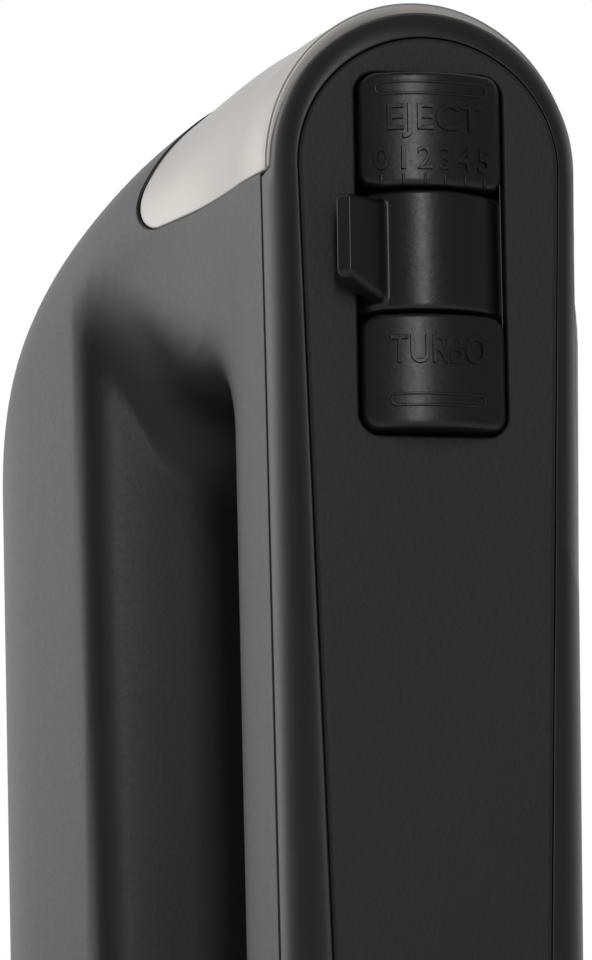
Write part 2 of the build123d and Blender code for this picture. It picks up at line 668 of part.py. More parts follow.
with BuildPart() as commutator:
    with BuildSketch(Plane.XY.offset(COMMUTATOR_Z[0])):
        Circle(COMMUTATOR_R)
        with PolarLocations(COMMUTATOR_R, COMMUTATOR_BARS):
            Rectangle(1.2, 0.5, mode=Mode.SUBTRACT)
        Circle(SHAFT_R, mode=Mode.SUBTRACT)
    extrude(amount=COMMUTATOR_Z[1] - COMMUTATOR_Z[0])
save(commutator, "commutator")

with BuildPart() as fan:
    add(ring_z(0, 0, FAN_R, SHAFT_R, FAN_Z[0], FAN_Z[0] + 1.4))
    add(ring_z(0, 0, 7, SHAFT_R, FAN_Z[0], FAN_Z[1]))
    with BuildSketch(Plane.XY.offset(FAN_Z[0] + 1)):
        with PolarLocations(FAN_R - 9, FAN_BLADES):
            Rectangle(17, 1.2, rotation=25)
    extrude(amount=FAN_Z[1] - FAN_Z[0] - 1)
save(fan, "fan")

with BuildPart() as worm:
    add(ring_z(0, 0, WORM_R, SHAFT_R, WORM_Z[0], WORM_Z[1]))
save(worm, "worm")

with BuildPart() as stator_core:
    with BuildSketch(Plane.XY.offset(CORE_Z[0])):
        RectangleRounded(2 * STATOR_HALF[0], 2 * STATOR_HALF[1], 9)
        Circle(ROTOR_R + 0.5, mode=Mode.SUBTRACT)
        with Locations((TIE_XY[0], TIE_XY[1]), (-TIE_XY[0], -TIE_XY[1])):
            Circle(TIE_R + 0.1, mode=Mode.SUBTRACT)
    extrude(amount=CORE_Z[1] - CORE_Z[0])
save(stator_core, "stator_core")

with BuildPart() as stator_windings:
    for z_low, z_high in ((CORE_Z[0] - 9, CORE_Z[0]), (CORE_Z[1], CORE_Z[1] + 9)):
        add(ring_z(0, 0, 25, ROTOR_R + 1.5, z_low, z_high))
save(stator_windings, "stator_windings")


def bearing(z_low, z_high):
    """Sleeve bearing for the motor shaft, with a running fit."""
    return ring_z(0, 0, BEARING_R, SHAFT_R + RUNNING_FIT, z_low, z_high)


with BuildPart() as rear_bearing:
    add(bearing(*REAR_BEARING_Z))
save(rear_bearing, "rear_bearing")

with BuildPart() as front_bearing:
    add(bearing(*FRONT_BEARING_Z))
save(front_bearing, "front_bearing")

with BuildPart() as rear_bracket:
    add(slab(-BRACKET_HALF_Y, BRACKET_HALF_Y, BRACKET_Z[0], BRACKET_Z[1], -BRACKET_HALF_X, BRACKET_HALF_X))
    add(slab(FRAME_POST_Y, FRAME_POST_Y + BRACKET_FLANGE, BRACKET_BOSS_Z - 3.5, BRACKET_Z[1],
             -BRACKET_HALF_X, BRACKET_HALF_X))
    add(rod_z(0, 0, BEARING_R + 3, BRACKET_Z[0], REAR_BEARING_Z[1]))
    add(rod_z(0, 0, BEARING_R, REAR_BEARING_Z[0], FAR), mode=Mode.SUBTRACT)
    add(rod_z(0, 0, SHAFT_R + 1, 0, FAR), mode=Mode.SUBTRACT)
    for side in (1, -1):
        add(rod_z(side * TIE_XY[0], side * TIE_XY[1], TIE_R, 0, FAR), mode=Mode.SUBTRACT)
        add(rod_y(side * BOSS_X, BRACKET_BOSS_Z, SCREW_R, -60, 0), mode=Mode.SUBTRACT)
save(rear_bracket, "rear_bracket")

with BuildPart() as motor_screws:
    for side in (1, -1):
        add(rod_z(side * TIE_XY[0], side * TIE_XY[1], TIE_R, BRACKET_Z[0], TIE_END_Z))
        add(rod_z(side * TIE_XY[0], side * TIE_XY[1], TIE_R + 1.4, BRACKET_Z[0] - 2, BRACKET_Z[0]))
save(motor_screws, "motor_screws")

with BuildPart() as brush_holders:
    for side in (1, -1):
        x_low, x_high = sorted((side * BRUSH_HOLDER_X[0], side * BRUSH_HOLDER_X[1]))
        add(slab(-5, 5, BRUSH_Z - 5, BRUSH_Z + 4, x_low, x_high))
        cut_low, cut_high = sorted((side * 5, side * (BRUSH_HOLDER_X[1] - 1.5)))
        add(slab(-3, 3, BRUSH_Z - 3, BRUSH_Z + 3, cut_low, cut_high), mode=Mode.SUBTRACT)
        add(slab(-4, 4, BRACKET_Z[1], BRUSH_Z - 4, x_low, x_high))
save(brush_holders, "brush_holders")

with BuildPart() as carbon_brushes:
    for side in (1, -1):
        x_low, x_high = sorted((side * (COMMUTATOR_R + 0.1), side * BRUSH_END_X))
        add(slab(-2.9, 2.9, BRUSH_Z - 2.9, BRUSH_Z + 2.9, x_low, x_high))
save(carbon_brushes, "carbon_brushes")


# ---------------------------------------------------------------- gearbox
def spindle_bore(radius):
    """Bars through both spindle positions, for cutting their bores."""
    with BuildPart(mode=Mode.PRIVATE) as bars:
        for side in (1, -1):
            add(rod_y(side * SPINDLE_X, SPINDLE_Z, radius, -60, FAR))
    return bars.part


with BuildPart() as gearbox_frame:
    add(slab(-GEARBOX_PLATE_Y[1], GEARBOX_PLATE_Y[1], *GEARBOX_FLOOR_Z, -GEARBOX_HALF, GEARBOX_HALF))
    for side in (1, -1):
        y_low, y_high = sorted((side * GEARBOX_PLATE_Y[0], side * GEARBOX_PLATE_Y[1]))
        add(slab(y_low, y_high, GEARBOX_FLOOR_Z[0], GEARBOX_END_Z, -GEARBOX_HALF, GEARBOX_HALF))
    add(rod_z(0, 0, BEARING_R, FRONT_BEARING_Z[0], FAR), mode=Mode.SUBTRACT)
    add(rod_z(0, 0, SHAFT_R + 1, 60, FAR), mode=Mode.SUBTRACT)
    add(spindle_bore(BUSH_R), mode=Mode.SUBTRACT)
    for side in (1, -1):
        add(rod_z(side * TIE_XY[0], side * TIE_XY[1], TIE_R, 0, TIE_END_Z), mode=Mode.SUBTRACT)
        for z in GEARBOX_BOSS_Z:
            add(rod_y(side * BOSS_X, z, SCREW_R, -60, 0), mode=Mode.SUBTRACT)
save(gearbox_frame, "gearbox_frame")


def bush_pair(y_low, y_high):
    """Two spindle bushes with a running fit."""
    with BuildPart(mode=Mode.PRIVATE) as pair:
        for side in (1, -1):
            add(rod_y(side * SPINDLE_X, SPINDLE_Z, BUSH_R, y_low, y_high))
            add(rod_y(side * SPINDLE_X, SPINDLE_Z, SPINDLE_R + RUNNING_FIT, -60, 60), mode=Mode.SUBTRACT)
    return pair.part


with BuildPart() as upper_bushes:
    add(bush_pair(-GEARBOX_PLATE_Y[1], -GEARBOX_PLATE_Y[0]))
save(upper_bushes, "upper_bushes")

with BuildPart() as lower_bushes:
    add(bush_pair(GEARBOX_PLATE_Y[0], GEARBOX_PLATE_Y[1]))
save(lower_bushes, "lower_bushes")

with BuildPart() as frame_screws:
    for side in (1, -1):
        seats = [(BRACKET_BOSS_Z, FRAME_POST_Y + BRACKET_FLANGE)]
        seats += [(z, -GEARBOX_PLATE_Y[0]) for z in GEARBOX_BOSS_Z]
        for z, seat_y in seats:
            add(rod_y(side * BOSS_X, z, SCREW_R, BOSS_TOP_Y + 3, seat_y))
            add(rod_y(side * BOSS_X, z, SCREW_R + 1.3, seat_y, seat_y + 2))
save(frame_screws, "frame_screws")

for side, name in ((-1, "left"), (1, "right")):
    with BuildPart() as spindle:
        add(rod_y(side * SPINDLE_X, SPINDLE_Z, SPINDLE_R, SPINDLE_TOP_Y, SOCKET_Y[1]))
        add(rod_y(side * SPINDLE_X, SPINDLE_Z, SOCKET_R, SOCKET_Y[0], FAR), mode=Mode.SUBTRACT)
        add(rod_y(side * SPINDLE_X, SPINDLE_Z, EJECT_PIN_R + 0.3, -60, SOCKET_Y[0]), mode=Mode.SUBTRACT)
    save(spindle, f"{name}_spindle")

    with BuildPart() as gear:
        with BuildSketch(depth_plane(GEAR_HALF)):
            with Locations((side * SPINDLE_X, SPINDLE_Z)):
                Circle(GEAR_R)
                with PolarLocations(GEAR_R, GEAR_TEETH):
                    Rectangle(4.0, 1.5, mode=Mode.SUBTRACT)
                Circle(SPINDLE_R, mode=Mode.SUBTRACT)
        extrude(amount=2 * GEAR_HALF)
    save(gear, f"{name}_gear")
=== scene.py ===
import json
from math import cos, pi, radians, sin, sqrt

import bmesh
import bpy
import numpy as np
from mathutils import Matrix, Vector


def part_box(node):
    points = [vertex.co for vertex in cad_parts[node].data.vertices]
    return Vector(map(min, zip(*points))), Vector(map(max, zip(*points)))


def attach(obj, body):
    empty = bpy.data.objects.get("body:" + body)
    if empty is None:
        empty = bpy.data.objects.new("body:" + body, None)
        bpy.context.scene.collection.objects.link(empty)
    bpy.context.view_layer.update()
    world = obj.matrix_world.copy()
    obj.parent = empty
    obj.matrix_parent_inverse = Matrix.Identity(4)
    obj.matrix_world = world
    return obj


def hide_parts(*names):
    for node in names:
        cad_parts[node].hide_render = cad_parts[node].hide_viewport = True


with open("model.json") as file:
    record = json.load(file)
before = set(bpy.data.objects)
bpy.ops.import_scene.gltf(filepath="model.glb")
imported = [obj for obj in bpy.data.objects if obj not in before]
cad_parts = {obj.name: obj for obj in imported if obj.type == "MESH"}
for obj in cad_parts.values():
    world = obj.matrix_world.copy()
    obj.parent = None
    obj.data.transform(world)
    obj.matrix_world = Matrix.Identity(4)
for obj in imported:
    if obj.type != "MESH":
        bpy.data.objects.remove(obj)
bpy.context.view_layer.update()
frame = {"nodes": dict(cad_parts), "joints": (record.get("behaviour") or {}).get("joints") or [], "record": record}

# Looks of the hand mixer. Shapes are worked out in millimetres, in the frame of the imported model, and
# turned into metres when a mesh is made. +Z is the nose, -Y the grip panel, +Y the underside.
MM = 0.001


# ---------------------------------------------------------------- places taken from the frame
def low(node):
    """Lowest corner of a node, in millimetres."""
    return np.array(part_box(node)[0]) / MM


def high(node):
    """Highest corner of a node, in millimetres."""
    return np.array(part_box(node)[1]) / MM


PANEL_Y = low("grip_panel")[1]
PANEL_BACK_Y = high("grip_panel")[1]
SEAM_Y = low("main_housing")[1]
COVER_FLOOR_Y = PANEL_BACK_Y + 1.2  # inner face of the handle cover
BASE_SEAM_Y = low("base_cover")[1]
UNDERSIDE_Y = high("base_cover")[1]
RIM_TOP_Y = low("nose_trim")[1]
TRIM_REAR_Z = low("nose_trim")[2]
TRIM_BODY_Y = high("nose_trim")[1]
HEEL_Z = low("main_housing")[2]
EJECT_LOW, EJECT_HIGH = low("eject_button"), high("eject_button")
TURBO_LOW, TURBO_HIGH = low("turbo_button"), high("turbo_button")
DRUM_LOW, DRUM_HIGH = low("speed_drum"), high("speed_drum")
JOINTS = {j["name"]: j for j in frame["joints"]}
DRUM_AXIS_Y = JOINTS["speed_turn"]["pos_m"][1] / MM


# ---------------------------------------------------------------- the body's form
def smooth_curve(xs, ys):
    """Smooth curve through points, with slopes taken from the neighbours."""
    xs, ys = np.array(xs, float), np.array(ys, float)
    slopes = np.gradient(ys, xs)

    def value(x):
        x = np.clip(x, xs[0], xs[-1])
        i = np.clip(np.searchsorted(xs, x) - 1, 0, len(xs) - 2)
        span = xs[i + 1] - xs[i]
        t = (x - xs[i]) / span
        return (
            ys[i] * (1 + 2 * t) * (1 - t) ** 2
            + slopes[i] * span * t * (1 - t) ** 2
            + ys[i + 1] * t * t * (3 - 2 * t)
            + slopes[i + 1] * span * t * t * (t - 1)
        )

    return value


SEAM_OUTLINE = (21.6, 200.9, 23.4, 5.0, 0.09)  # half width, nose, length of the round end, heel, taper
PANEL_OUTLINE = (17.7, 194.3, 17.7, 14.0, 0.26)
RIM_OUTLINE = (20.8, 198.4, 21.3, 5.6, 0.09)  # edge of the cover inside the trim's rim
STATION_Y = [SEAM_Y, -89, -82, -70, -56, -39, -20, 0, 20, 33, 40]
half_width_at = smooth_curve(STATION_Y, [21.6, 22.9, 23.8, 25.9, 30.2, 36.8, 41.8, 42.4, 39.2, 35.4, 31.2])
nose_z_at = smooth_curve(STATION_Y, [200.9, 201.3, 201.7, 202.6, 202, 199.8, 195, 188.6, 176.2, 165, 156])
nose_length_at = smooth_curve(STATION_Y, [23.4, 23.2, 23.4, 24.2, 26.6, 29, 31.2, 33.2, 35, 33.6, 30.5])
heel_z_at = smooth_curve(STATION_Y, [5, 3.2, 2, 1, 1, 1, 1, 1, 1, 4, 10])
taper_at = smooth_curve(STATION_Y, [0.09, 0.11, 0.13, 0.13, 0.12, 0.10, 0.07, 0.05, 0.05, 0.05, 0.05])
HEEL_CORNER = 12.0
UNDERSIDE_ROUND = 7.0
HEEL_ROUND = 3.0

GAP_Y = (-70.0, -40.0)  # the finger gap in the middle plane
GAP_Z = (30.0, 152.0)
GAP_CORNER = 12.0
GAP_ROUND = 3.6  # rounding of the gap's lips
HANDLE_LIP = (10.4, 12.0)  # where the lip starts beside the middle plane, and its radius
BODY_LIP = (25.0, 14.0)
BODY_LIP_SHARE = 0.15  # the body's side of the gap opens out less
END_LIPS = ((14.0, 12.0), (14.0, 14.0))  # rear, front
LIP_REACH = 0.85  # share of the radius that turns; past it the lip runs on straight
LIP_SLOPE = 1.61
TRIM_CORNER = 8.0
TRIM_STEP = 0.3
RIM_WIDTH = 1.8
FIT = 0.08  # half the gap between two shells
EDGE = 0.35  # rounding of the shells' edges


def smooth_max(a, b, width):
    """Larger of two distances, with the corner between them rounded."""
    h = np.maximum(width - np.abs(a - b), 0) / width
    return np.maximum(a, b) + h * h * width / 4


def smooth_min(a, b, width):
    """Smaller of two distances, with the corner between them filled."""
    return -smooth_max(-a, -b, width)


def rounded_rectangle(u, v, half_u, half_v, corner):
    """Signed distance to a rounded rectangle centred on zero."""
    qu, qv = np.abs(u) - (half_u - corner), np.abs(v) - (half_v - corner)
    outside = np.hypot(np.maximum(qu, 0), np.maximum(qv, 0))
    return outside + np.minimum(np.maximum(qu, qv), 0) - corner


def outer_value(p):
    """Below zero inside the mixer's outline at the point's depth."""
    x, y, z = np.abs(p[..., 0]), p[..., 1], p[..., 2]
    half, length = half_width_at(y), nose_length_at(y)
    shoulder, heel = nose_z_at(y) - length, heel_z_at(y)
    rise = np.clip((shoulder - z) / (shoulder - heel), 0, 1)
    width = half * (1 - taper_at(y) * rise)
    corner_x = x - (width - HEEL_CORNER)
    corner_z = (heel + HEEL_CORNER) - z
    lower = (
        np.hypot(np.maximum(corner_x, 0), np.maximum(corner_z, 0))
        + np.minimum(np.maximum(corner_x, corner_z), 0)
        - HEEL_CORNER
    )
    above = np.maximum(z - shoulder, 0)
    upper = (np.sqrt((x / half) ** 2 + (above / length) ** 2 + 1e-9) - 1) * half
    return np.where(z > shoulder, upper, lower)


def gradient(value, p, step=0.02):
    """Numerical gradient of a field at an array of points."""
    g = np.empty(p.shape)
    for k in range(3):
        d = np.zeros(3)
        d[k] = step
        g[..., k] = (value(p + d) - value(p - d)) / (2 * step)
    return g


def flare(x, start, radius):
    """How far a rounded lip has turned away at x, when it starts at start."""
    run = np.clip(x - start, 0, LIP_REACH * radius)
    turned = radius - np.sqrt(radius**2 - run**2)
    return turned + np.maximum(x - start - run, 0) * LIP_SLOPE


def gap_value(p):
    """Below zero inside the finger gap, whose mouth opens out towards both flanks."""
    x = np.abs(p[..., 0])
    y_low, y_high = GAP_Y[0] - flare(x, *HANDLE_LIP), GAP_Y[1] + BODY_LIP_SHARE * flare(x, *BODY_LIP)
    z_low, z_high = GAP_Z[0] - flare(x, *END_LIPS[0]), GAP_Z[1] + flare(x, *END_LIPS[1])
    across, along = p[..., 1] - (y_low + y_high) / 2, p[..., 2] - (z_low + z_high) / 2
    return rounded_rectangle(across, along, (y_high - y_low) / 2, (z_high - z_low) / 2, GAP_CORNER)


def true_distance(value, p):
    """A field divided by its slope, so that it counts as a distance near its surface."""
    return value(p) / np.clip(np.linalg.norm(gradient(value, p), axis=-1), 0.6, 3.0)


def body_distance(p):
    """Signed distance, close to the surface, of the body with its finger gap."""
    d = true_distance(outer_value, p)
    d = smooth_max(d, p[..., 1] - UNDERSIDE_Y, UNDERSIDE_ROUND)
    d = smooth_max(d, HEEL_Z - p[..., 2], HEEL_ROUND)
    return smooth_max(d, -true_distance(gap_value, p), GAP_ROUND)


# ---------------------------------------------------------------- meshes from fields
CORNERS = [(i, j, k) for i in (0, 1) for j in (0, 1) for k in (0, 1)]
CELL_EDGES = [
    (a, b) for a in CORNERS for b in CORNERS if a < b and sum(abs(p - q) for p, q in zip(a, b)) == 1
]


def settle(points, value, level=0.0, rounds=6):
    """Moves points along the field's gradient onto the surface value = level."""
    for _ in range(rounds):
        g = gradient(value, points)
        off = (value(points) - level) / np.maximum((g * g).sum(-1), 0.05)
        off = np.clip(off, -1.0, 1.0)
        points = points - g * off[:, None]
    return points


def surface_net(value, lowest, highest, cell):
    """Quad mesh of the surface value = 0 inside a box: (points, quads), facing outwards."""
    axes = [np.arange(a, b + cell, cell) for a, b in zip(lowest, highest)]
    n = [len(a) for a in axes]
    field = np.empty(n)
    yy, zz = np.meshgrid(axes[1], axes[2], indexing="ij")
    for i, x in enumerate(axes[0]):
        field[i] = value(np.stack([np.full(yy.shape, x), yy, zz], -1))
    inside = field < 0
    cells = tuple(m - 1 for m in n)
    total = np.zeros(cells + (3,))
    count = np.zeros(cells)

    def at(grid, c):
        return grid[c[0]:c[0] + cells[0], c[1]:c[1] + cells[1], c[2]:c[2] + cells[2]]

    for a, b in CELL_EDGES:
        crossed = at(inside, a) != at(inside, b)
        va, vb = at(field, a), at(field, b)
        t = np.where(crossed, va / np.where(crossed, va - vb, 1), 0)
        for k in range(3):
            total[..., k] += np.where(crossed, a[k] + t * (b[k] - a[k]), 0)
        count += crossed
    used = count > 0
    number = np.full(cells, -1)
    number[used] = np.arange(used.sum())
    index = np.argwhere(used)
    local = total[used] / count[used][:, None]
    points = (index + local) * cell + np.array([a[0] for a in axes])
    quads = []
    for axis in range(3):
        u, v = [k for k in range(3) if k != axis]
        here = [slice(1, -1)] * 3
        here[axis] = slice(0, -1)
        there = list(here)
        there[axis] = slice(1, None)
        flips = inside[tuple(here)] != inside[tuple(there)]
        where = np.argwhere(flips)
        start = where + np.array([0 if k == axis else 1 for k in range(3)])
        facing = inside[tuple(here)][flips]
        corners = []
        for du, dv in ((-1, -1), (0, -1), (0, 0), (-1, 0)):
            c = start.copy()
            c[:, u] += du
            c[:, v] += dv
            corners.append(number[c[:, 0], c[:, 1], c[:, 2]])
        q = np.stack(corners, 1)
        if axis == 1:
            facing = ~facing
        q[~facing] = q[~facing][:, ::-1]
        quads.append(q)
    return settle(points, value), np.concatenate(quads)


def make_object(name, points, faces, weighted=False):
    """Smooth-shaded mesh object from millimetre points."""
    mesh = bpy.data.meshes.new(name)
    mesh.from_pydata((np.asarray(points) * MM).tolist(), [], [tuple(int(i) for i in f) for f in faces])
    mesh.validate()
    mesh.polygons.foreach_set("use_smooth", [True] * len(mesh.polygons))
    obj = bpy.data.objects.new(name, mesh)
    bpy.context.scene.collection.objects.link(obj)
    if weighted:
        face_outwards(obj)
        modifier = obj.modifiers.new("weighted", "WEIGHTED_NORMAL")
        modifier.weight = 80
        modifier.keep_sharp = True
    return obj


def face_outwards(obj):
    """Turns all faces of a closed mesh outwards."""
    bm = bmesh.new()
    bm.from_mesh(obj.data)
    bmesh.ops.recalc_face_normals(bm, faces=bm.faces)
    bm.to_mesh(obj.data)
    bm.free()


# ---------------------------------------------------------------- shells cut from the body's surface
def bm_from(points, faces):
    """bmesh in millimetres."""
    bm = bmesh.new()
    verts = [bm.verts.new(p) for p in points]
    for f in faces:
        bm.faces.new([verts[i] for i in f])
    bm.normal_update()
    return bm


def bm_arrays(bm):
    """Points and faces of a bmesh, without loose vertices."""
    bmesh.ops.remove_doubles(bm, verts=bm.verts, dist=0.03)
    bmesh.ops.dissolve_degenerate(bm, dist=0.01, edges=bm.edges)
    bmesh.ops.delete(bm, geom=[v for v in bm.verts if not v.link_faces], context="VERTS")
    bm.verts.index_update()
    points = np.array([v.co[:] for v in bm.verts])
    faces = [[v.index for v in f.verts] for f in bm.faces]
    bm.free()
    return points, faces


def trim_planes(shift):
    """Planes round the trim's region, facing out of it, as (point, normal)."""
    centre = np.array([0, TRIM_BODY_Y - TRIM_CORNER, TRIM_REAR_Z + TRIM_CORNER])
    found = []
    for turn in np.linspace(0, pi / 2, 10):
        normal = np.array([0, cos(turn), -sin(turn)])
        found.append((centre + normal * (TRIM_CORNER + shift), normal))
    return found


def in_planes(p, planes, extra=0.0):
    """True where a point is on the inner side of all planes."""
    return all((p - c) @ n < extra for c, n in planes)


def clear_beyond(bm, point, normal):
    """Cuts along a plane and removes everything on the side the normal points to."""
    bmesh.ops.bisect_plane(
        bm, geom=bm.verts[:] + bm.edges[:] + bm.faces[:], plane_co=point, plane_no=normal, clear_outer=True
    )


def take_out_trim(bm, planes):
    """Cuts the trim's region out of the skin."""
    for point, normal in planes:
        near = [f for f in bm.faces if in_planes(np.array(f.calc_center_median()), planes, 6.0)]
        edges = {e for f in near for e in f.edges}
        verts = {v for f in near for v in f.verts}
        bmesh.ops.bisect_plane(bm, geom=near + list(edges) + list(verts), plane_co=point, plane_no=normal)
    gone = [f for f in bm.faces if in_planes(np.array(f.calc_center_median()), planes)]
    bmesh.ops.delete(bm, geom=gone, context="FACES")


def shell_from_skin(points, faces, thickness, edge=EDGE):
    """Closed shell from an open skin: rounded edge all round, and an inner surface."""
    normals = gradient(body_distance, points)
    normals /= np.linalg.norm(normals, axis=1)[:, None]
    seen = {}
    for f in faces:
        for a, b in zip(f, f[1:] + f[:1]):
            seen[(a, b)] = True
    border = [e for e in seen if (e[1], e[0]) not in seen]
    out = {}
    for a, b in border:
        across = np.cross(points[b] - points[a], normals[a])
        across /= max(np.linalg.norm(across), 1e-9)
        for v in (a, b):
            out[v] = out.get(v, 0) + across
    rows = []
    count = len(points)
    all_points = [points]
    index = {v: k for k, v in enumerate(out)}
    base = points[list(out)]
    away = np.array([t / max(np.linalg.norm(t), 1e-9) for t in out.values()])
    inward = -normals[list(out)]
    steps = [(edge * sin(t), edge * (1 - cos(t))) for t in np.linspace(0, pi / 2, 5)[1:]]
    steps += [(edge, thickness - 0.3), (edge - 0.2, thickness)]
    for across, deep in steps:
        all_points.append(base + away * across + inward * deep)
        rows.append(count)
        count += len(base)
    all_points.append(points - normals * thickness)
    inner = count
    result = [list(f) for f in faces]
    result += [[i + inner for i in reversed(f)] for f in faces]
    for a, b in border:
        chain_a = [a] + [r + index[a] for r in rows] + [a + inner]
        chain_b = [b] + [r + index[b] for r in rows] + [b + inner]
        for k in range(len(chain_a) - 1):
            result.append([chain_b[k], chain_a[k], chain_a[k + 1], chain_b[k + 1]])
    return np.concatenate(all_points), result


def body_shells():
    """Main housing, base cover and nose trim from one skin."""
    points, quads = surface_net(
        body_distance, (-45.7, RIM_TOP_Y - 1.2, HEEL_Z - 4), (45.5, UNDERSIDE_Y + 2.3, 205.0), 1.6
    )
    quads = quads.tolist()
    heel = (Vector((0, 0, HEEL_Z + 0.02)), Vector((0, 0, -1)))

    housing = bm_from(points, quads)
    clear_beyond(housing, *heel)
    clear_beyond(housing, (0, SEAM_Y + EDGE, 0), (0, -1, 0))
    clear_beyond(housing, (0, BASE_SEAM_Y - FIT - EDGE, 0), (0, 1, 0))
    take_out_trim(housing, trim_planes(FIT + EDGE))
    shell = shell_from_skin(*bm_arrays(housing), 2.4)
    main = make_object("main_housing_shell", *shell, weighted=True)

    base = bm_from(points, quads)
    clear_beyond(base, *heel)
    clear_beyond(base, (0, BASE_SEAM_Y + FIT + EDGE, 0), (0, -1, 0))
    cover = make_object("base_cover_shell", *shell_from_skin(*bm_arrays(base), 2.4), weighted=True)

    trim = bm_from(points, quads)
    clear_beyond(trim, (0, RIM_TOP_Y + EDGE, 0), (0, -1, 0))
    for plane in trim_planes(-FIT - EDGE):
        clear_beyond(trim, *plane)
    skin, faces = bm_arrays(trim)
    normals = gradient(body_distance, skin)
    skin = skin - TRIM_STEP * normals / np.linalg.norm(normals, axis=1)[:, None]
    nose = make_object("nose_trim_shell", *shell_from_skin(skin, faces, RIM_WIDTH, 0.45), weighted=True)
    return main, cover, nose


# ---------------------------------------------------------------- flat shells with the control opening
OPENING_HALF = 10.1
BUTTON_GAP = 0.4
OPENING_LOW, OPENING_HIGH = TURBO_LOW[2] - BUTTON_GAP, EJECT_HIGH[2] + BUTTON_GAP
OPENING_CORNER = 2.8
OPENING_MID = (OPENING_LOW + OPENING_HIGH) / 2


def outline_loop(outline, inset):
    """Outline as a polygon, drawn inset."""
    half, nose, length, heel, taper = outline
    shoulder = nose - length
    points = []
    for t in np.linspace(0, pi, 97):
        points.append(((half - inset) * cos(t), shoulder + (length - inset) * sin(t)))
    corner = HEEL_CORNER - inset
    foot_half = half * (1 - taper) - inset
    for t in np.linspace(pi, 1.5 * pi, 11):
        points.append((-foot_half + corner + corner * cos(t), heel + inset + corner + corner * sin(t)))
    for t in np.linspace(1.5 * pi, 2 * pi, 11):
        points.append((foot_half - corner + corner * cos(t), heel + inset + corner + corner * sin(t)))
    return np.array(points)


def opening_loop(inset):
    """The control opening as a polygon; a negative inset widens it."""
    half_x, half_z = OPENING_HALF - inset, (OPENING_HIGH - OPENING_LOW) / 2 - inset
    corner = OPENING_CORNER - inset
    points = []
    for k, (sx, sz) in enumerate(((1, 1), (-1, 1), (-1, -1), (1, -1))):
        centre_x, centre_z = sx * (half_x - corner), OPENING_MID + sz * (half_z - corner)
        for t in np.linspace(k * pi / 2, (k + 1) * pi / 2, 9):
            points.append((centre_x + corner * cos(t), centre_z + corner * sin(t)))
    return np.array(points)


def on_rays(loop, angles):
    """Points of a star-shaped polygon on rays from the opening's centre."""
    local = loop - np.array([0, OPENING_MID])
    turn = np.arctan2(local[:, 1], local[:, 0]) % (2 * pi)
    order = np.argsort(turn, kind="stable")
    local, turn = local[order], turn[order]
    following = np.roll(local, -1, axis=0)
    i = (np.searchsorted(turn, angles, side="right") - 1) % len(turn)
    u = np.stack([np.cos(angles), np.sin(angles)], 1)
    d = following[i] - local[i]
    reach = (local[i, 0] * d[:, 1] - local[i, 1] * d[:, 0]) / (u[:, 0] * d[:, 1] - u[:, 1] * d[:, 0])
    return u * reach[:, None] + np.array([0, OPENING_MID])


def ray_angles(*loops):
    """Angles of all the loops' corners, without near repeats, and filled in where they are far apart."""
    turns = np.concatenate([np.arctan2(l[:, 1] - OPENING_MID, l[:, 0]) % (2 * pi) for l in loops])
    turns = np.sort(turns)
    kept = [turns[0]]
    for t in turns[1:]:
        if t - kept[-1] > 0.004:
            steps = int((t - kept[-1]) // 0.06)
            kept += [kept[-1] + (t - kept[-1]) * (k + 1) / (steps + 1) for k in range(steps)]
            kept.append(t)
    return np.array(kept)


def ring_solid(name, rings, angles):
    """Closed solid through rings of (loop, y); the last ring joins the first."""
    n = len(angles)
    points, faces = [], []
    for loop, y in rings:
        flat = on_rays(loop, angles) if len(loop) != n else loop
        points.append(np.stack([flat[:, 0], np.full(n, y), flat[:, 1]], 1))
    for r in range(len(rings)):
        s = (r + 1) % len(rings)
        for k in range(n):
            m = (k + 1) % n
            faces.append((r * n + k, r * n + m, s * n + m, s * n + k))
    return make_object(name, np.concatenate(points), faces, weighted=True)


def quarter(radius, count=4):
    """Steps round a rounded edge: (distance from the side, distance below the top)."""
    return [(radius * (1 - sin(t)), radius * (1 - cos(t))) for t in np.linspace(0, pi / 2, count + 1)]


def grip_panel():
    """Raised panel with softly rounded edges and the opening."""
    angles = ray_angles(outline_loop(PANEL_OUTLINE, 0), opening_loop(0))
    rings = [(opening_loop(0), PANEL_BACK_Y)]
    for side, drop in reversed(quarter(0.45)):
        rings.append((opening_loop(-side), PANEL_Y + drop))
    for side, drop in quarter(0.7, 5):
        rings.append((outline_loop(PANEL_OUTLINE, side), PANEL_Y + drop))
    rings.append((outline_loop(PANEL_OUTLINE, 0), PANEL_BACK_Y))
    return ring_solid("grip_panel_plate", rings, angles)


def between(a, b, share):
    """Outline part of the way from one outline to another."""
    return tuple(p + (q - p) * share for p, q in zip(a, b))


def bevel_height(share):
    """Depth of the cover's bevel for a share of the way from the seam to the panel."""
    edge_y = PANEL_Y + 0.55
    return SEAM_Y + (edge_y - SEAM_Y) * (1 - (1 - share) ** 1.75) ** (1 / 1.75)


BEVEL_SHARES = [0.008, 0.03, 0.07, 0.12, 0.18] + [0.25, 0.32, 0.40, 0.48, 0.56, 0.64, 0.72, 0.80]
BEVEL_SHARES += [0.87, 0.93, 0.975]
PANEL_GAP = 0.12


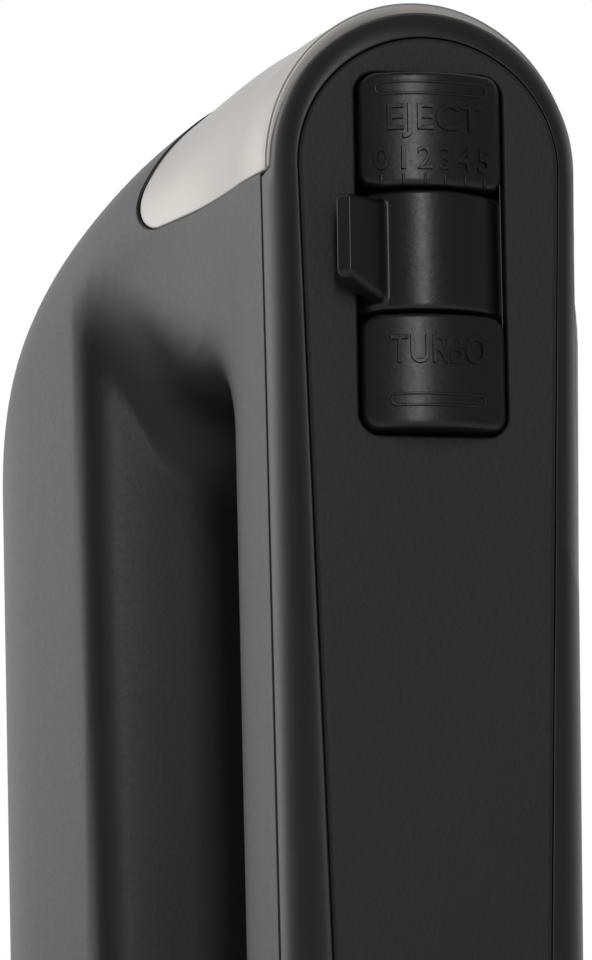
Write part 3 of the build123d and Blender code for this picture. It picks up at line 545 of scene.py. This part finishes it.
def handle_cover():
    """Cover from the seam up to the panel, with a floor under the panel and the opening; beside the
    trim it ends at the rim."""
    angles = ray_angles(outline_loop(PANEL_OUTLINE, 0), opening_loop(0), outline_loop(RIM_OUTLINE, 0))
    limit = on_rays(outline_loop(RIM_OUTLINE, 0.1), angles)
    beside_trim = limit[:, 1] > TRIM_REAR_Z - 2 * FIT
    centre = np.array([0, OPENING_MID])

    def kept(loop):
        flat = on_rays(loop, angles)
        reach = np.linalg.norm(flat - centre, axis=1) / np.linalg.norm(limit - centre, axis=1)
        return np.where((beside_trim & (reach > 1))[:, None], limit, flat)

    bevel = []
    for share in BEVEL_SHARES:
        outline = between(SEAM_OUTLINE, PANEL_OUTLINE, share)
        bevel.append((kept(outline_loop(outline, 0)), bevel_height(share)))
    floor_y, top_y = PANEL_BACK_Y + 0.02, bevel[-1][1]
    rings = [(opening_loop(0), COVER_FLOOR_Y), (opening_loop(0), floor_y)]
    rings += [(outline_loop(PANEL_OUTLINE, -PANEL_GAP), y) for y in (floor_y, top_y + 0.4)]
    rings += [(outline_loop(PANEL_OUTLINE, -0.22), top_y + 0.12)]
    rings += list(reversed(bevel))
    rings += [(kept(outline_loop(SEAM_OUTLINE, 0.15)), SEAM_Y - 0.14)]
    rings += [(kept(outline_loop(SEAM_OUTLINE, 0.5)), SEAM_Y)]
    rings += [(outline_loop(SEAM_OUTLINE, 2.6), SEAM_Y), (outline_loop(SEAM_OUTLINE, 2.7), COVER_FLOOR_Y)]
    return ring_solid("handle_cover_shell", rings, angles)


# ---------------------------------------------------------------- controls
CROWN_R = 18.0
BUTTON_TOP_Y = EJECT_LOW[1]
BUTTON_HALF = OPENING_HALF - BUTTON_GAP
CAP_WALL = 1.6
SKIRT_Y = -97.0
FLANGE_TOP_Y, FLANGE_HALF = -98.7, 11.6
NOTCH_Y, NOTCH_HALF = -100.6, 4.7  # cut from the end walls over the drum's pin
SEAT_R, SEAT_DEPTH, STEM_R = 5.0, 2.8, 2.0
EJECT_SEAT_Z, TURBO_SEAT_Z = 181.0, 148.4
DRUM_R = 11.5
DRUM_SHELL = 2.2
DRUM_SECTOR = (-37.5, 100.5)  # middle and half of the drum's sweep, in degrees from -Y towards +X
WEB_SECTOR = (-35, 75)
WEB_Z = (158.0, 169.6)  # the webs lie outside these heights
HUB_R, PIN_HOLE_R = 3.4, 1.65
DRUM_Z = (DRUM_LOW[2], DRUM_HIGH[2])
FIN_Z = (157.6, 160.5, 171.5)
FIN_SECTION = [(11.0, -33.4), (13.2, -36.4), (15.6, -39.4), (18.3, -41.9), (18.3, -48.3)]
FIN_SECTION += [(16.6, -51.1), (14.2, -51.0), (12.9, -48.1), (10.5, -46.0)]  # radius, angle


def crown_y(x):
    """Depth of the buttons' crowned face at x."""
    return BUTTON_TOP_Y + CROWN_R - np.sqrt(CROWN_R**2 - np.clip(x, -CROWN_R, CROWN_R) ** 2)


def block(p, lowest, highest):
    """Signed distance to a box."""
    centre, half = (np.array(lowest) + highest) / 2, (np.array(highest) - lowest) / 2
    q = np.abs(p - centre) - half
    return np.linalg.norm(np.maximum(q, 0), axis=-1) + np.minimum(q.max(-1), 0)


def button(name, z_low, z_high, seat_z, stem_y=None):
    """Hollow cap with a crowned face, a flange each side and a spring seat; one cap also has a stem."""
    mid, half = (z_low + z_high) / 2, (z_high - z_low) / 2

    def value(p):
        x, y, z = p[..., 0], p[..., 1], p[..., 2]
        side = rounded_rectangle(x, z - mid, BUTTON_HALF, half, 2.2)
        face = np.hypot(x, y - (BUTTON_TOP_Y + CROWN_R)) - CROWN_R
        d = smooth_max(side, face, 1.0)
        d = smooth_max(d, y - SKIRT_Y, 0.4)
        d = np.maximum(d, -np.maximum(side, face) - CAP_WALL)
        d = np.maximum(d, -np.maximum(np.abs(x) - NOTCH_HALF, NOTCH_Y - y))
        flange_low = (-FLANGE_HALF, FLANGE_TOP_Y, z_low + OPENING_CORNER)
        flange = block(p, flange_low, (FLANGE_HALF, SKIRT_Y, z_high - OPENING_CORNER))
        d = np.minimum(d, np.maximum(flange, BUTTON_HALF - CAP_WALL - np.abs(x)))
        radius, under_crown = np.hypot(x, z - seat_z), BUTTON_TOP_Y + 1 - y
        seat = np.maximum(radius - SEAT_R, y - BUTTON_TOP_Y - SEAT_DEPTH)
        d = np.minimum(d, np.maximum(seat, under_crown))
        if stem_y:
            d = np.minimum(d, np.maximum(np.maximum(radius - STEM_R, y - stem_y), under_crown))
        return d

    box_low = (-12.2, BUTTON_TOP_Y - 0.6, z_low - 0.6)
    box_high = (12.2, (stem_y or SKIRT_Y) + 0.6, z_high + 0.6)
    return make_object(name, *surface_net(value, box_low, box_high, 0.3))


def polygon_distance(u, v, corners):
    """Signed distance to a closed polygon."""
    best = np.full(u.shape, 1e9)
    inside = np.zeros(u.shape, bool)
    for (ax, ay), (bx, by) in zip(corners, corners[1:] + corners[:1]):
        ex, ey = bx - ax, by - ay
        t = np.clip(((u - ax) * ex + (v - ay) * ey) / (ex * ex + ey * ey), 0, 1)
        best = np.minimum(best, np.hypot(u - ax - t * ex, v - ay - t * ey))
        crosses = (ay > v) != (by > v)
        inside ^= crosses & (u < (bx - ax) * (v - ay) / np.where(by == ay, 1e-9, by - ay) + ax)
    return np.where(inside, -best, best)


def speed_drum():
    """Slider drum with its thumb fin."""
    section = [
        (r * sin(radians(a)), DRUM_AXIS_Y - r * cos(radians(a))) for r, a in FIN_SECTION
    ]
    mid, half = (DRUM_Z[0] + DRUM_Z[1]) / 2, (DRUM_Z[1] - DRUM_Z[0]) / 2

    def value(p):
        x, y, z = p[..., 0], p[..., 1], p[..., 2]
        radius = np.hypot(x, y - DRUM_AXIS_Y)
        drum = smooth_max(radius - DRUM_R, np.abs(z - mid) - half, 0.9)
        drum = np.maximum(drum, DRUM_R - DRUM_SHELL - radius)
        turn = np.degrees(np.arctan2(x, DRUM_AXIS_Y - y))
        drum = np.maximum(drum, radians(1) * radius * (np.abs(turn - DRUM_SECTOR[0]) - DRUM_SECTOR[1]))
        web = radians(1) * radius * (np.abs(turn - WEB_SECTOR[0]) - WEB_SECTOR[1])
        web = np.maximum(web, radius - DRUM_R + 1)
        web = np.maximum(web, np.minimum(z - WEB_Z[0], WEB_Z[1] - z))
        web = np.minimum(web, radius - HUB_R)
        web = np.maximum(np.maximum(web, PIN_HOLE_R - radius), np.abs(z - mid) - half)
        drum = np.minimum(drum, web)
        rise = np.clip(radius - DRUM_R, 0, 7)
        slope = (FIN_Z[0] + rise * (FIN_Z[1] - FIN_Z[0]) / 6.8 - z) * 0.92
        fin = polygon_distance(x, y, section) - 0.05
        fin = smooth_max(fin, slope, 0.9)
        fin = smooth_max(fin, z - FIN_Z[2], 0.9)
        return smooth_min(drum, fin, 0.5)

    box_low = (DRUM_LOW[0] - 1.2, DRUM_LOW[1] - 0.6, DRUM_Z[0] - 0.6)
    box_high = (DRUM_R + 0.6, DRUM_AXIS_Y + 8.3, DRUM_Z[1] + 0.6)
    cell = 0.27
    return make_object("speed_drum_body", *surface_net(value, box_low, box_high, cell))


def crown_mesh(curve, name, x, z):
    """Turns a flat curve into a mesh that lies on the buttons' crowned face."""
    flat = bpy.data.objects.new(name, curve)
    bpy.context.scene.collection.objects.link(flat)
    mesh = bpy.data.meshes.new_from_object(flat.evaluated_get(bpy.context.evaluated_depsgraph_get()))
    bpy.data.objects.remove(flat)
    count = len(mesh.vertices)
    co = np.empty(count * 3)
    mesh.vertices.foreach_get("co", co)
    co = co.reshape(-1, 3)
    across = x + co[:, 0]
    co = np.stack([across, crown_y(across) - co[:, 2], z + co[:, 1]], 1) * MM
    mesh.vertices.foreach_set("co", co.ravel())
    obj = bpy.data.objects.new(name, mesh)
    bpy.context.scene.collection.objects.link(obj)
    return obj


CAPITAL_SHARE = 0.729  # capital height as a share of the type size


def label(text, x, z, width, height):
    """Raised word or digit, of that width and capital height in millimetres."""
    curve = bpy.data.curves.new("label", "FONT")
    curve.body = text
    curve.size = height / CAPITAL_SHARE
    curve.align_x = "CENTER"
    curve.align_y = "CENTER"
    curve.extrude = 0.35
    curve.bevel_depth = 0.05
    curve.bevel_resolution = 1
    curve.resolution_u = 6
    obj = crown_mesh(curve, "label", x, z)
    if width:
        spread = [v.co.x / MM - x for v in obj.data.vertices]
        factor = width / (max(spread) - min(spread))
        for v in obj.data.vertices:
            old = v.co.x / MM
            new = x + (old - x) * factor
            v.co.x = new * MM
            v.co.y += (crown_y(new) - crown_y(old)) * MM
    return obj


def bar(x, z, width, height, line=0.34):
    """Raised outline of a bar with round ends."""
    straight = (width - height) / 2
    path = [(straight * t, height / 2) for t in np.linspace(1, -1, 22)]
    path += [(-straight - height / 2 * sin(t), height / 2 * cos(t)) for t in np.linspace(0, pi, 12)[1:-1]]
    path += [(straight * t, -height / 2) for t in np.linspace(-1, 1, 22)]
    path += [(straight + height / 2 * sin(t), -height / 2 * cos(t)) for t in np.linspace(0, pi, 12)[1:-1]]
    path = np.array(path)
    ahead = np.roll(path, -1, axis=0) - np.roll(path, 1, axis=0)
    normal = np.stack([ahead[:, 1], -ahead[:, 0]], 1) / np.linalg.norm(ahead, axis=1)[:, None]
    points, faces = [], []
    for side, lift in ((-0.5, -0.3), (-0.5, 0.13), (-0.3, 0.19), (0.3, 0.19), (0.5, 0.13), (0.5, -0.3)):
        spot = path + normal * side * line
        points.append(np.stack([x + spot[:, 0], crown_y(x + spot[:, 0]) - lift, z + spot[:, 1]], 1))
    n, rows = len(path), len(points)
    for r in range(rows):
        s = (r + 1) % rows
        for k in range(n):
            m = (k + 1) % n
            faces.append((r * n + k, r * n + m, s * n + m, s * n + k))
    obj = make_object("bar", np.concatenate(points), faces)
    face_outwards(obj)
    return obj


def tick(x, z, length):
    """Short raised mark under a digit."""
    points = []
    for side, end, lift in ((1, 1, -0.3), (1, 1, 0.11), (0.5, 0.85, 0.17)):
        for u, v in ((-0.17, -0.5), (0.17, -0.5), (0.17, 0.5), (-0.17, 0.5)):
            across = x + u * side
            points.append((across, float(crown_y(across)) - lift, z + v * end * length))
    faces = [(0, 1, 2, 3), (11, 10, 9, 8)]
    faces += [(r + k, r + (k + 1) % 4, r + 4 + (k + 1) % 4, r + 4 + k) for r in (0, 4) for k in range(4)]
    obj = make_object("tick", points, faces)
    face_outwards(obj)
    return obj


def join(obj, others):
    """Adds other meshes to obj."""
    bm = bmesh.new()
    bm.from_mesh(obj.data)
    for other in others:
        bm.from_mesh(other.data)
    bm.to_mesh(obj.data)
    bm.free()
    for other in others:
        bpy.data.objects.remove(other)


def place(obj, body, slot, *nodes):
    """Puts a finished piece on its body, in its slot, in place of CAD nodes."""
    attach(obj, body)
    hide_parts(*nodes)
    obj.data.materials.clear()
    obj.data.materials.append(MATERIALS[slot])


# ---------------------------------------------------------------- finishes
def grey(level, warm=0.0):
    """Linear colour from an sRGB grey level between 0 and 255, tinted warm or cool."""
    base = [(level + k * warm) / 255 for k in (1, 0, -1)]
    return [((c + 0.055) / 1.055) ** 2.4 if c > 0.04045 else c / 12.92 for c in base] + [1]


def finish(name, colour, roughness, metallic=0.0, grain=(), specular=0.5, coat=0.0, vary=0.0):
    """Procedural material; grain is a list of (scale, strength, distance in mm)."""
    material = bpy.data.materials.new(name)
    material.use_nodes = True
    nodes, links = material.node_tree.nodes, material.node_tree.links
    shader = nodes["Principled BSDF"]
    shader.inputs["Base Color"].default_value = colour
    shader.inputs["Roughness"].default_value = roughness
    shader.inputs["Metallic"].default_value = metallic
    shader.inputs["Specular IOR Level"].default_value = specular
    shader.inputs["Coat Weight"].default_value = coat
    where = nodes.new("ShaderNodeTexCoord")
    last = None
    for scale, strength, distance in grain:
        noise = nodes.new("ShaderNodeTexNoise")
        noise.inputs["Scale"].default_value = scale
        noise.inputs["Detail"].default_value = 2.0
        links.new(where.outputs["Object"], noise.inputs["Vector"])
        bump = nodes.new("ShaderNodeBump")
        bump.inputs["Strength"].default_value = strength
        bump.inputs["Distance"].default_value = distance * MM
        links.new(noise.outputs["Fac"], bump.inputs["Height"])
        if last:
            links.new(last.outputs["Normal"], bump.inputs["Normal"])
        last = bump
        if vary and scale == grain[0][0]:
            spread = nodes.new("ShaderNodeMapRange")
            spread.inputs["To Min"].default_value = roughness - vary
            spread.inputs["To Max"].default_value = roughness + vary
            links.new(noise.outputs["Fac"], spread.inputs["Value"])
            links.new(spread.outputs["Result"], shader.inputs["Roughness"])
    if last:
        links.new(last.outputs["Normal"], shader.inputs["Normal"])
    return material


BUTTON_GRAIN = [(1600, 0.3, 0.06), (5200, 0.12, 0.03)]  # scale, strength, distance in mm
MATERIALS = {
    "soft_black": finish("soft_black", grey(24, -1), 0.44, grain=[(1500, 0.25, 0.06)], vary=0.06),
    "satin_black": finish("satin_black", grey(29, -1), 0.40, grain=[(1800, 0.12, 0.04)], vary=0.05),
    "grain_black": finish("grain_black", grey(27, -1), 0.6, grain=[(1700, 0.55, 0.12), (4200, 0.3, 0.05)]),
    "button_black": finish("button_black", grey(20, -1), 0.33, grain=BUTTON_GRAIN, vary=0.08),
    "nose_silver": finish("nose_silver", grey(176, 4), 0.4, 0.6, grain=[(2600, 0.18, 0.04)], vary=0.05),
    "foot_rubber": finish("foot_rubber", grey(38), 0.8, grain=[(1400, 0.3, 0.08)]),
    "inner_plastic": finish("inner_plastic", grey(58), 0.5, grain=[(900, 0.15, 0.05)]),
    "steel": finish("steel", grey(176), 0.3, metallic=1.0, grain=[(700, 0.08, 0.03)], vary=0.08),
    "copper": finish("copper", [0.62, 0.24, 0.11, 1], 0.35, metallic=1.0, grain=[(2200, 0.4, 0.1)]),
    "bronze": finish("bronze", [0.42, 0.25, 0.10, 1], 0.4, metallic=1.0, grain=[(1500, 0.2, 0.05)]),
    "cast_alloy": finish("cast_alloy", grey(150), 0.5, metallic=0.9, grain=[(900, 0.4, 0.08)]),
    "carbon": finish("carbon", grey(40), 0.6, grain=[(2500, 0.3, 0.05)]),
    "nylon": finish("nylon", grey(225, 6), 0.45, grain=[(800, 0.1, 0.04)]),
    "board_green": finish("board_green", [0.02, 0.16, 0.07, 1], 0.4, grain=[(1200, 0.1, 0.03)]),
    "capacitor_film": finish("capacitor_film", [0.65, 0.42, 0.05, 1], 0.35, grain=[(600, 0.1, 0.04)]),
}


# ---------------------------------------------------------------- camera and stage
YAW, LOOK_UP, ROLL = radians(11.84), radians(9.32), radians(0.78)
AIM_Z = 134.6
AIM_SIDE = -18.36
DISTANCE = 619.1
LENS = 176.4


def add_camera():
    forward = Vector((sin(YAW) * cos(LOOK_UP), cos(YAW) * cos(LOOK_UP), sin(LOOK_UP)))
    right = Vector((cos(YAW), -sin(YAW), 0))
    up = right.cross(forward)
    target = Vector((0, PANEL_Y, AIM_Z)) + right * AIM_SIDE
    turn = Matrix.Rotation(ROLL, 3, forward)
    right, up = turn @ right, turn @ up
    data = bpy.data.cameras.new("camera")
    data.lens = LENS
    data.sensor_width = 36
    data.sensor_height = 36
    data.sensor_fit = "VERTICAL"
    data.clip_start = 0.01
    camera = bpy.data.objects.new("camera", data)
    camera.matrix_world = Matrix.Translation((target - forward * DISTANCE) * MM) @ Matrix(
        (right, up, -forward)
    ).transposed().to_4x4()
    bpy.context.scene.collection.objects.link(camera)
    bpy.context.scene.camera = camera


def soft_light(name, place_at, target, size, energy, colour=(1, 1, 1)):
    """Rectangular softbox, in metres, that looks at the target."""
    data = bpy.data.lights.new(name, "AREA")
    data.shape = "RECTANGLE"
    data.size, data.size_y = size
    data.energy = energy
    data.color = colour
    obj = bpy.data.objects.new(name, data)
    obj.location = place_at
    obj.rotation_euler = (Vector(target) - Vector(place_at)).to_track_quat("-Z", "Y").to_euler()
    bpy.context.scene.collection.objects.link(obj)


def add_studio():
    world = bpy.data.worlds.new("studio")
    bpy.context.scene.world = world
    world.use_nodes = True
    nodes, links = world.node_tree.nodes, world.node_tree.links
    where = nodes.new("ShaderNodeTexCoord")
    split = nodes.new("ShaderNodeSeparateXYZ")
    ramp = nodes.new("ShaderNodeValToRGB")
    spread = nodes.new("ShaderNodeMapRange")
    spread.inputs["From Min"].default_value = -1.0
    spread.inputs["From Max"].default_value = 1.0
    links.new(where.outputs["Generated"], split.inputs["Vector"])
    links.new(split.outputs["Y"], spread.inputs["Value"])
    links.new(spread.outputs["Result"], ramp.inputs["Fac"])
    ramp.color_ramp.elements[0].position = 0.50
    ramp.color_ramp.elements[0].color = (0.17, 0.17, 0.17, 1)
    ramp.color_ramp.elements[1].position = 0.8
    ramp.color_ramp.elements[1].color = (1, 1, 1, 1)
    links.new(ramp.outputs["Color"], nodes["Background"].inputs["Color"])
    nodes["Background"].inputs["Strength"].default_value = 1.0
    target = (0, -0.06, 0.12)
    soft_light("key", (-0.80, 0.55, 0.45), target, (0.5, 0.9), 2.5)
    soft_light("strip", (-0.10, -1.0, 0.50), target, (0.12, 0.7), 2.5)
    mesh = bpy.data.meshes.new("floor")
    mesh.from_pydata([(-3, -3, 0), (3, -3, 0), (3, 3, 0), (-3, 3, 0)], [], [(0, 1, 2, 3)])
    floor = bpy.data.objects.new("floor", mesh)
    bpy.context.scene.collection.objects.link(floor)
    mesh.materials.append(finish("floor_paper", grey(236), 0.8, grain=[(40, 0.02, 0.05)]))
    view = bpy.context.scene.view_settings
    view.view_transform = "Standard"


# ---------------------------------------------------------------- putting it together
def build():
    main, cover, nose = body_shells()
    place(main, "housing", "soft_black", "main_housing")
    place(cover, "housing", "soft_black", "base_cover")
    place(nose, "housing", "nose_silver", "nose_trim")
    place(handle_cover(), "housing", "satin_black", "handle_cover")
    place(grip_panel(), "housing", "grain_black", "grip_panel")

    eject = button("eject_button_cap", EJECT_LOW[2], EJECT_HIGH[2], EJECT_SEAT_Z)
    marks = [label("EJECT", -0.1, 182.3, 12.9, 3.65), bar(-0.25, 186.5, 15.2, 1.6)]
    for k, digit in enumerate("012345"):
        x = -7.2 + 2.82 * k
        marks.append(label(digit, x, 176.75, 0, 3.2))
        marks.append(tick(x, 174.1, 1.3))
    join(eject, marks)
    place(eject, "eject", "button_black", "eject_button")

    turbo = button("turbo_button_cap", TURBO_LOW[2], TURBO_HIGH[2], TURBO_SEAT_Z, TURBO_HIGH[1])
    join(turbo, [label("TURBO", 0.1, 151.0, 13.1, 3.9), bar(0.0, 144.5, 12.8, 1.5)])
    place(turbo, "turbo", "button_black", "turbo_button")
    place(speed_drum(), "speed_slider", "button_black", "speed_drum")


add_camera()
add_studio()
build()
for part in frame["record"]["subparts"]:
    if part["node"] in frame["nodes"]:
        node = frame["nodes"][part["node"]]
        node.data.materials.clear()
        node.data.materials.append(MATERIALS[part["material_slot"]])
